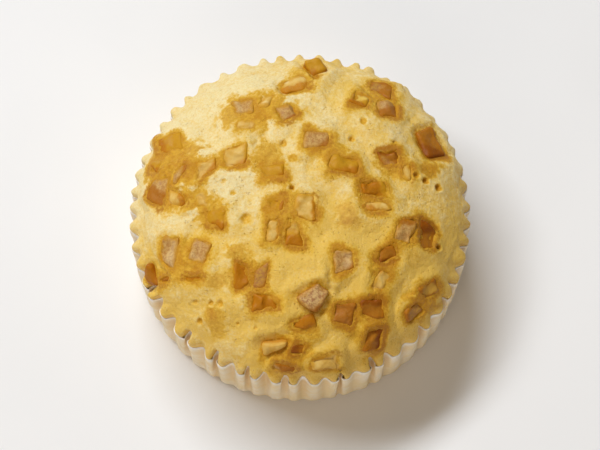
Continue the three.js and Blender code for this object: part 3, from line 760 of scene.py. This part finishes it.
def candied_die(die):
    """A copy of the frame's die, softened, roughened and marked with its sides."""
    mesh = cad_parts[die.name].data.copy()
    piece = bpy.data.objects.new(die.name.replace("dice", "die"), mesh)
    bpy.context.scene.collection.objects.link(piece)
    mesh.materials.clear()
    take(piece)
    bpy.ops.object.mode_set(mode="EDIT")
    bpy.ops.mesh.select_all(action="SELECT")
    bpy.ops.mesh.remove_doubles(threshold=0.01 * MM)
    bpy.ops.object.mode_set(mode="OBJECT")
    crisp = die.name in CRISP
    apply_modifier(piece, "REMESH", mode="VOXEL", voxel_size=VOXEL * MM)
    apply_modifier(piece, "SMOOTH", factor=0.5, iterations=CRISP_ROUNDS if crisp else SOFT_ROUNDS)
    points = points_of(piece)
    normals = vectors_of(piece, "normal")
    along, across, above = die.local(points)
    new_along, new_across = die.hewn(along, across)
    points = points + (new_along - along)[:, None] * die.along
    points = points + (new_across - across)[:, None] * die.across
    sway = np.column_stack([lumps(points, SWAY, seed) for seed in (11, 12, 13)])
    points = points + (CRISP_SWAY if crisp else 1.0) * sway
    along, across, above = die.local(points)
    tilt = [noise.noise(Vector(die.top) / TILT_SPREAD + Vector((seed, 0, 0))) for seed in CHANCES]
    leaning = tilt[0] * along / die.half[0] + tilt[1] * across / die.half[1]
    uneven = PLUMP + DENTS * lumps(points, DENT_SIZE, 7) + NICKS * lumps(points, NICK_SIZE, 8)
    raised = FACE_TILT * leaning * ease(1 + above / 3)
    points = points + normals * uneven[:, None] + raised[:, None] * die.up
    move_points(piece, points)
    along, across, above = die.local(points)
    ragged = 0.7 * lumps(points, RAG_SIZE, 9) + 0.4 * lumps(points, FINE_RAG_SIZE, 10)
    away = die.outside(along, across) + ragged
    # The die's darker side and its sides below the top get the darker colour: partly syrup, partly painted
    # shade where they face away from the key light and sink into the crumb.
    under = 0.8 * ease((-0.4 - above) / 0.8)
    paint_mask(piece, "syrup_and_shade", np.maximum(die.side(along + ragged, across + ragged, "syrup_and_shade"), under))
    paint_mask(piece, "rim", (CRISP_RIM if crisp else SOFT_RIM) * ease((away + 1.5) / 1.3))
    paint_mask(piece, "pale", die.side(along + ragged, across - ragged, "pale"))
    paint_mask(piece, "skin", die.side(along - ragged, across + ragged, "skin"))
    take(piece)
    bpy.ops.object.shade_smooth()
    return piece


# ---- finishes


def finish_of(name):
    """A new material with a plain shader."""
    material = bpy.data.materials.new(name)
    material.use_nodes = True
    nodes = material.node_tree.nodes
    nodes.clear()
    shader = nodes.new("ShaderNodeBsdfPrincipled")
    output = nodes.new("ShaderNodeOutputMaterial")
    material.node_tree.links.new(shader.outputs["BSDF"], output.inputs["Surface"])
    return material, shader


def coat(wires, shader, colour, roughness, normal):
    for name, value in {"Base Color": colour, "Roughness": roughness, "Normal": normal}.items():
        wires.put(shader.inputs[name], value)


def soften_light(shader, weight, radius, size):
    """Lets light soak into a finish, about a size in mm deep."""
    for name, value in {"Weight": weight, "Radius": radius, "Scale": size * MM}.items():
        shader.inputs["Subsurface " + name].default_value = value


class Wiring:
    """Short words for adding nodes to a material or a group."""

    def __init__(self, tree):
        self.tree = tree

    def put(self, socket, value):
        if isinstance(value, bpy.types.NodeSocket):
            self.tree.links.new(value, socket)
        else:
            socket.default_value = value

    def mask(self, name):
        node = self.tree.nodes.new("ShaderNodeAttribute")
        node.attribute_name = name
        return node.outputs["Fac"]

    def pattern(self, kind, size):
        """A noise or cell pattern on the piece itself, with features of a size in mm."""
        node = self.tree.nodes.new(kind)
        self.put(node.inputs["Vector"], self.tree.nodes.new("ShaderNodeTexCoord").outputs["Object"])
        node.inputs["Scale"].default_value = 1 / (size * MM)
        return node

    def grain(self, size, detail, roughness=0.55):
        node = self.pattern("ShaderNodeTexNoise", size)
        node.inputs["Detail"].default_value = detail
        node.inputs["Roughness"].default_value = roughness
        return node.outputs["Fac"]

    def cells(self, size):
        return self.pattern("ShaderNodeTexVoronoi", size).outputs["Distance"]

    def sum(self, kind, first, second):
        node = self.tree.nodes.new("ShaderNodeMath")
        node.operation = kind
        self.put(node.inputs[0], first)
        self.put(node.inputs[1], second)
        return node.outputs[0]

    def times(self, first, second):
        return self.sum("MULTIPLY", first, second)

    def plus(self, first, second):
        return self.sum("ADD", first, second)

    def ramp(self, value, low, high, to_low=0.0, to_high=1.0, kind="LINEAR"):
        node = self.tree.nodes.new("ShaderNodeMapRange")
        node.interpolation_type = kind
        given = {"Value": value, "From Min": low, "From Max": high, "To Min": to_low, "To Max": to_high}
        for name, setting in given.items():
            self.put(node.inputs[name], setting)
        return node.outputs["Result"]

    def spread(self, value, low, high, to_low=0.0, to_high=1.0):
        return self.ramp(value, low, high, to_low, to_high, "SMOOTHSTEP")

    def blend(self, share, first, second):
        node = self.tree.nodes.new("ShaderNodeMix")
        node.data_type = "RGBA"
        self.put(node.inputs["Factor"], share)
        self.put(node.inputs[6], first)
        self.put(node.inputs[7], second)
        return node.outputs[2]

    def bump(self, height, strength, distance):
        node = self.tree.nodes.new("ShaderNodeBump")
        node.inputs["Strength"].default_value = strength
        node.inputs["Distance"].default_value = distance * MM
        self.put(node.inputs["Height"], height)
        return node.outputs["Normal"]


# Crumb: its colours from dry to soaked, and sizes of what marks it.
CRUMB_LIGHT = (0.945, 0.795, 0.43, 1)
CRUMB_GOLD = (0.85, 0.555, 0.10, 1)
CRUMB_GOLDEN = (0.80, 0.475, 0.035, 1)
CRUMB_SYRUP_AND_PORE_SHADE = (0.60, 0.275, 0.006, 1)
CRUMB_DARK = (0.48, 0.19, 0.003, 1)
CRUMB_CREAM = (0.76, 0.50, 0.15, 1)
MOTTLE, FINE_MOTTLE, SPECKS, CRUMB_GRAIN = 9.0, 0.6, 0.7, 0.5
PORES, PORE_PATCHES = 0.8, 2.2


def crumb_finish():
    material, shader = finish_of("steamed crumb")
    wires = Wiring(material.node_tree)
    mottle = wires.spread(wires.grain(MOTTLE, 2), 0.36, 0.64)
    fine_mottle = wires.spread(wires.grain(FINE_MOTTLE, 3, 0.7), 0.36, 0.66)
    tone = wires.times(mottle, 0.18)
    tone = wires.plus(tone, wires.times(fine_mottle, 0.4))
    # The paleness mask, random and with painted shade to the right and front, sets the tone between light
    # and gold.
    tone = wires.plus(tone, wires.spread(wires.mask("paleness_and_painted_shade"), 0.0, 0.95, 0.78, -0.04))
    colour = wires.blend(tone, CRUMB_LIGHT, CRUMB_GOLD)
    pores = wires.spread(wires.cells(PORES), 0.12, 0.3, 1.0, 0.0)
    patches = wires.spread(wires.grain(PORE_PATCHES, 1), 0.5, 0.62)
    pores = wires.times(pores, patches)
    # Painted shade in the pores: the small holes are painted darker, in the syrup colour.
    colour = wires.blend(wires.times(pores, 0.3), colour, CRUMB_SYRUP_AND_PORE_SHADE)
    speck = wires.spread(wires.grain(SPECKS, 3), 0.35, 0.65, -0.14, 0.14)
    syrup = wires.plus(wires.mask("syrup"), speck)
    colour = wires.blend(wires.ramp(syrup, 0.06, 0.52), colour, CRUMB_GOLDEN)
    colour = wires.blend(wires.ramp(syrup, 0.36, 0.96), colour, CRUMB_SYRUP_AND_PORE_SHADE)
    colour = wires.blend(wires.mask("cream"), colour, CRUMB_CREAM)
    dark = wires.spread(wires.plus(wires.mask("dark"), speck), 0.1, 1.0)
    colour = wires.blend(dark, colour, CRUMB_DARK)
    roughness = wires.spread(syrup, 0.0, 1.0, 0.50, 0.40)
    height = wires.plus(wires.grain(CRUMB_GRAIN, 4, 0.72), wires.times(pores, -0.7))
    coat(wires, shader, colour, roughness, wires.bump(height, 0.8, 0.45))
    soften_light(shader, 0.15, (1.0, 0.8, 0.5), 1.0)
    shader.inputs["Specular IOR Level"].default_value = 0.3
    return material


# Candied fruit: its colours, how much skin shows all over, and sizes of what marks it.
FRUIT_COLOURS = ("Flesh", "Rim", "Syrup and shade", "Pale", "Skin")
FRUIT = {
    "amber": (
        (0.58, 0.29, 0.014), (0.55, 0.26, 0.006), (0.45, 0.15, 0.002),
        (0.70, 0.47, 0.09), (0.56, 0.30, 0.07),
    ),
    "pale": (
        (0.75, 0.51, 0.15), (0.62, 0.31, 0.012), (0.53, 0.20, 0.004),
        (0.80, 0.60, 0.25), (0.66, 0.38, 0.14),
    ),
    "skin": (
        (0.54, 0.28, 0.04), (0.53, 0.25, 0.010), (0.40, 0.13, 0.002),
        (0.72, 0.50, 0.20), (0.40, 0.19, 0.08),
    ),
    "brown": (
        (0.40, 0.145, 0.005), (0.42, 0.145, 0.003), (0.26, 0.065, 0.001),
        (0.60, 0.34, 0.05), (0.46, 0.21, 0.06),
    ),
}
SKIN_SPREAD = {"amber": 0.0, "pale": 0.0, "skin": 0.6, "brown": 0.1}
CLOUDS, FLECKS, SUGAR, FRUIT_GRAIN = 2.2, 0.7, 0.5, 0.5


def fruit_group():
    """Clouded flesh, an amber rim, a side dark with syrup and painted shade, a pale side, a skin side and
    sugar grain.
    """
    group = bpy.data.node_groups.new("candied fruit", "ShaderNodeTree")
    for name in FRUIT_COLOURS:
        group.interface.new_socket(name, in_out="INPUT", socket_type="NodeSocketColor")
    group.interface.new_socket("Skin spread", in_out="INPUT", socket_type="NodeSocketFloat")
    group.interface.new_socket("Colour", in_out="OUTPUT", socket_type="NodeSocketColor")
    for name in ("Roughness", "Height"):
        group.interface.new_socket(name, in_out="OUTPUT", socket_type="NodeSocketFloat")
    given = group.nodes.new("NodeGroupInput")
    result = group.nodes.new("NodeGroupOutput")
    flesh, rim, syrup_and_shade, pale, skin = (given.outputs[name] for name in FRUIT_COLOURS)
    wires = Wiring(group)
    cloud = wires.spread(wires.grain(CLOUDS, 3), 0.35, 0.68)
    colour = wires.blend(wires.times(cloud, 0.5), flesh, rim)
    colour = wires.blend(wires.mask("pale"), colour, pale)
    skin_share = wires.sum("MAXIMUM", wires.mask("skin"), given.outputs["Skin spread"])
    fleck = wires.spread(wires.grain(FLECKS, 3, 0.7), 0.4, 0.6)
    colour = wires.blend(skin_share, colour, wires.blend(wires.times(fleck, 0.75), skin, pale))
    colour = wires.blend(wires.mask("rim"), colour, rim)
    # The darker side, partly syrup and partly painted shade.
    colour = wires.blend(wires.times(wires.mask("syrup_and_shade"), 0.85), colour, syrup_and_shade)
    sugar = wires.spread(wires.cells(SUGAR), 0.05, 0.22, 1.0, 0.0)
    colour = wires.blend(wires.times(sugar, 0.3), colour, pale)
    wires.put(result.inputs["Colour"], colour)
    wires.put(result.inputs["Roughness"], wires.spread(fleck, 0.0, 1.0, 0.35, 0.6))
    height = wires.plus(wires.grain(FRUIT_GRAIN, 3, 0.6), wires.times(sugar, 0.5))
    wires.put(result.inputs["Height"], height)
    return group


def fruit_finish(kind, group):
    material, shader = finish_of("candied fruit, " + kind)
    wires = Wiring(material.node_tree)
    node = material.node_tree.nodes.new("ShaderNodeGroup")
    node.node_tree = group
    for name, value in zip(FRUIT_COLOURS, FRUIT[kind]):
        node.inputs[name].default_value = (*value, 1)
    node.inputs["Skin spread"].default_value = SKIN_SPREAD[kind]
    normal = wires.bump(node.outputs["Height"], 0.5, 0.3)
    coat(wires, shader, node.outputs["Colour"], node.outputs["Roughness"], normal)
    soften_light(shader, 0.12, (1.0, 0.85, 0.6), 0.7)
    shader.inputs["Specular IOR Level"].default_value = 0.15
    shader.inputs["Coat Weight"].default_value = 0.03
    shader.inputs["Coat Roughness"].default_value = 0.25
    return material


PAPER_WHITE, PAPER_BUFF, PAPER_SHADE_AND_FIBRE = (0.97, 0.94, 0.91, 1), (0.86, 0.67, 0.39, 1), (0.74, 0.50, 0.22, 1)
PAPER_FIBRE, PAPER_CLOUDS = 0.9, 5.0


def paper_finish():
    material, shader = finish_of("greaseproof paper")
    wires = Wiring(material.node_tree)
    fibre = wires.spread(wires.grain(PAPER_FIBRE, 4), 0.3, 0.7)
    cloud = wires.spread(wires.grain(PAPER_CLOUDS, 2), 0.35, 0.65)
    body = wires.blend(wires.times(cloud, 0.35), PAPER_BUFF, PAPER_WHITE)
    # Painted shade: the inner folds are painted a darker tan.
    body = wires.blend(wires.times(wires.mask("inner_fold_shade"), 0.75), body, PAPER_SHADE_AND_FIBRE)
    colour = wires.blend(wires.mask("rim"), body, PAPER_WHITE)
    colour = wires.blend(wires.times(fibre, 0.08), colour, PAPER_SHADE_AND_FIBRE)
    coat(wires, shader, colour, wires.spread(fibre, 0.0, 1.0, 0.55, 0.75), wires.bump(fibre, 0.2, 0.05))
    soften_light(shader, 0.35, (1.0, 0.8, 0.55), 0.8)
    return material


TABLE_DARK, TABLE_LIGHT, TABLE_CLOUDS = (0.84, 0.84, 0.84, 1), (0.86, 0.86, 0.86, 1), 60.0


def floor_finish():
    material, shader = finish_of("pale table")
    wires = Wiring(material.node_tree)
    cloud = wires.spread(wires.grain(TABLE_CLOUDS, 2), 0.3, 0.7)
    wires.put(shader.inputs["Base Color"], wires.blend(cloud, TABLE_DARK, TABLE_LIGHT))
    shader.inputs["Roughness"].default_value = 0.6
    return material


# ---- the cake

all_dice = [Die(name) for name in sorted(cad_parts) if "_dice_" in name]

paper = paper_cup()
paper.data.materials.append(paper_finish())
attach(paper, "root")
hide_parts("paper_case")

crumb = crumb_sheet()
shape_crumb(crumb, all_dice)
crumb.data.materials.append(crumb_finish())
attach(crumb, "root")
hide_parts("sponge")

group = fruit_group()
fruit_finishes = {kind: fruit_finish(kind, group) for kind in FRUIT}
for die in all_dice:
    fruit = candied_die(die)
    fruit.data.materials.append(fruit_finishes[die.kind])
    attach(fruit, "root")
    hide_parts(die.name)

# ---- table, light and camera, in metres

TABLE_SIZE = 3.0
bpy.ops.object.select_all(action="DESELECT")
bpy.ops.mesh.primitive_plane_add(size=TABLE_SIZE)
table = bpy.context.active_object
table.name = "table"
table.data.materials.append(floor_finish())
table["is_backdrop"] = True

KEY_COLOUR = (0.96, 1.0, 1.05)
CARD_COLOUR = (1.0, 0.88, 0.74)
# Width, height, distance, turn clockwise from the back, rise, power and colour.
LIGHTS = {
    "window": (1.6, 0.4, 2.0, 323, 56, 36.9, KEY_COLOUR),
    "card": (1.6, 0.8, 1.5, 196, 30, 6.1, CARD_COLOUR),
}
for name, (wide, high, far, turn, rise, power, colour) in LIGHTS.items():
    data = bpy.data.lights.new(name, "AREA")
    data.shape = "RECTANGLE"
    data.size = wide
    data.size_y = high
    data.energy = power
    data.color = colour
    light = bpy.data.objects.new(name, data)
    bpy.context.scene.collection.objects.link(light)
    turn, rise = math.radians(turn), math.radians(rise)
    towards = Vector((math.sin(turn) * math.cos(rise), math.cos(turn) * math.cos(rise), math.sin(rise)))
    light.location = towards * far
    light.rotation_euler = (-towards).to_track_quat("-Z", "Y").to_euler()

ROOM_COLOUR, ROOM_STRENGTH = (1.0, 0.84, 0.65, 1), 0.2
world = bpy.data.worlds.new("studio")
bpy.context.scene.world = world
world.use_nodes = True
room = world.node_tree.nodes["Background"].inputs
room["Color"].default_value = ROOM_COLOUR
room["Strength"].default_value = ROOM_STRENGTH

VIEW_RISE = math.radians(75.4)
VIEW_DISTANCE = 0.6
AIM_HEIGHT = 0.020
AIM_DROP = 0.00045  # how far below that the middle of the picture lies
SENSOR, LENS = 36, 135.3
view_up = Vector((0, math.sin(VIEW_RISE), math.cos(VIEW_RISE)))
view_back = Vector((0, -math.cos(VIEW_RISE), math.sin(VIEW_RISE)))
aim = Vector((0, 0, AIM_HEIGHT)) - view_up * AIM_DROP
camera_data = bpy.data.cameras.new("camera")
camera_data.sensor_width = SENSOR
camera_data.lens = LENS
camera = bpy.data.objects.new("camera", camera_data)
bpy.context.scene.collection.objects.link(camera)
camera.location = aim + view_back * VIEW_DISTANCE
camera.rotation_euler = (-view_back).to_track_quat("-Z", "Y").to_euler()
bpy.context.scene.camera = camera
bpy.context.scene.view_settings.view_transform = "Standard"

low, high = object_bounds()
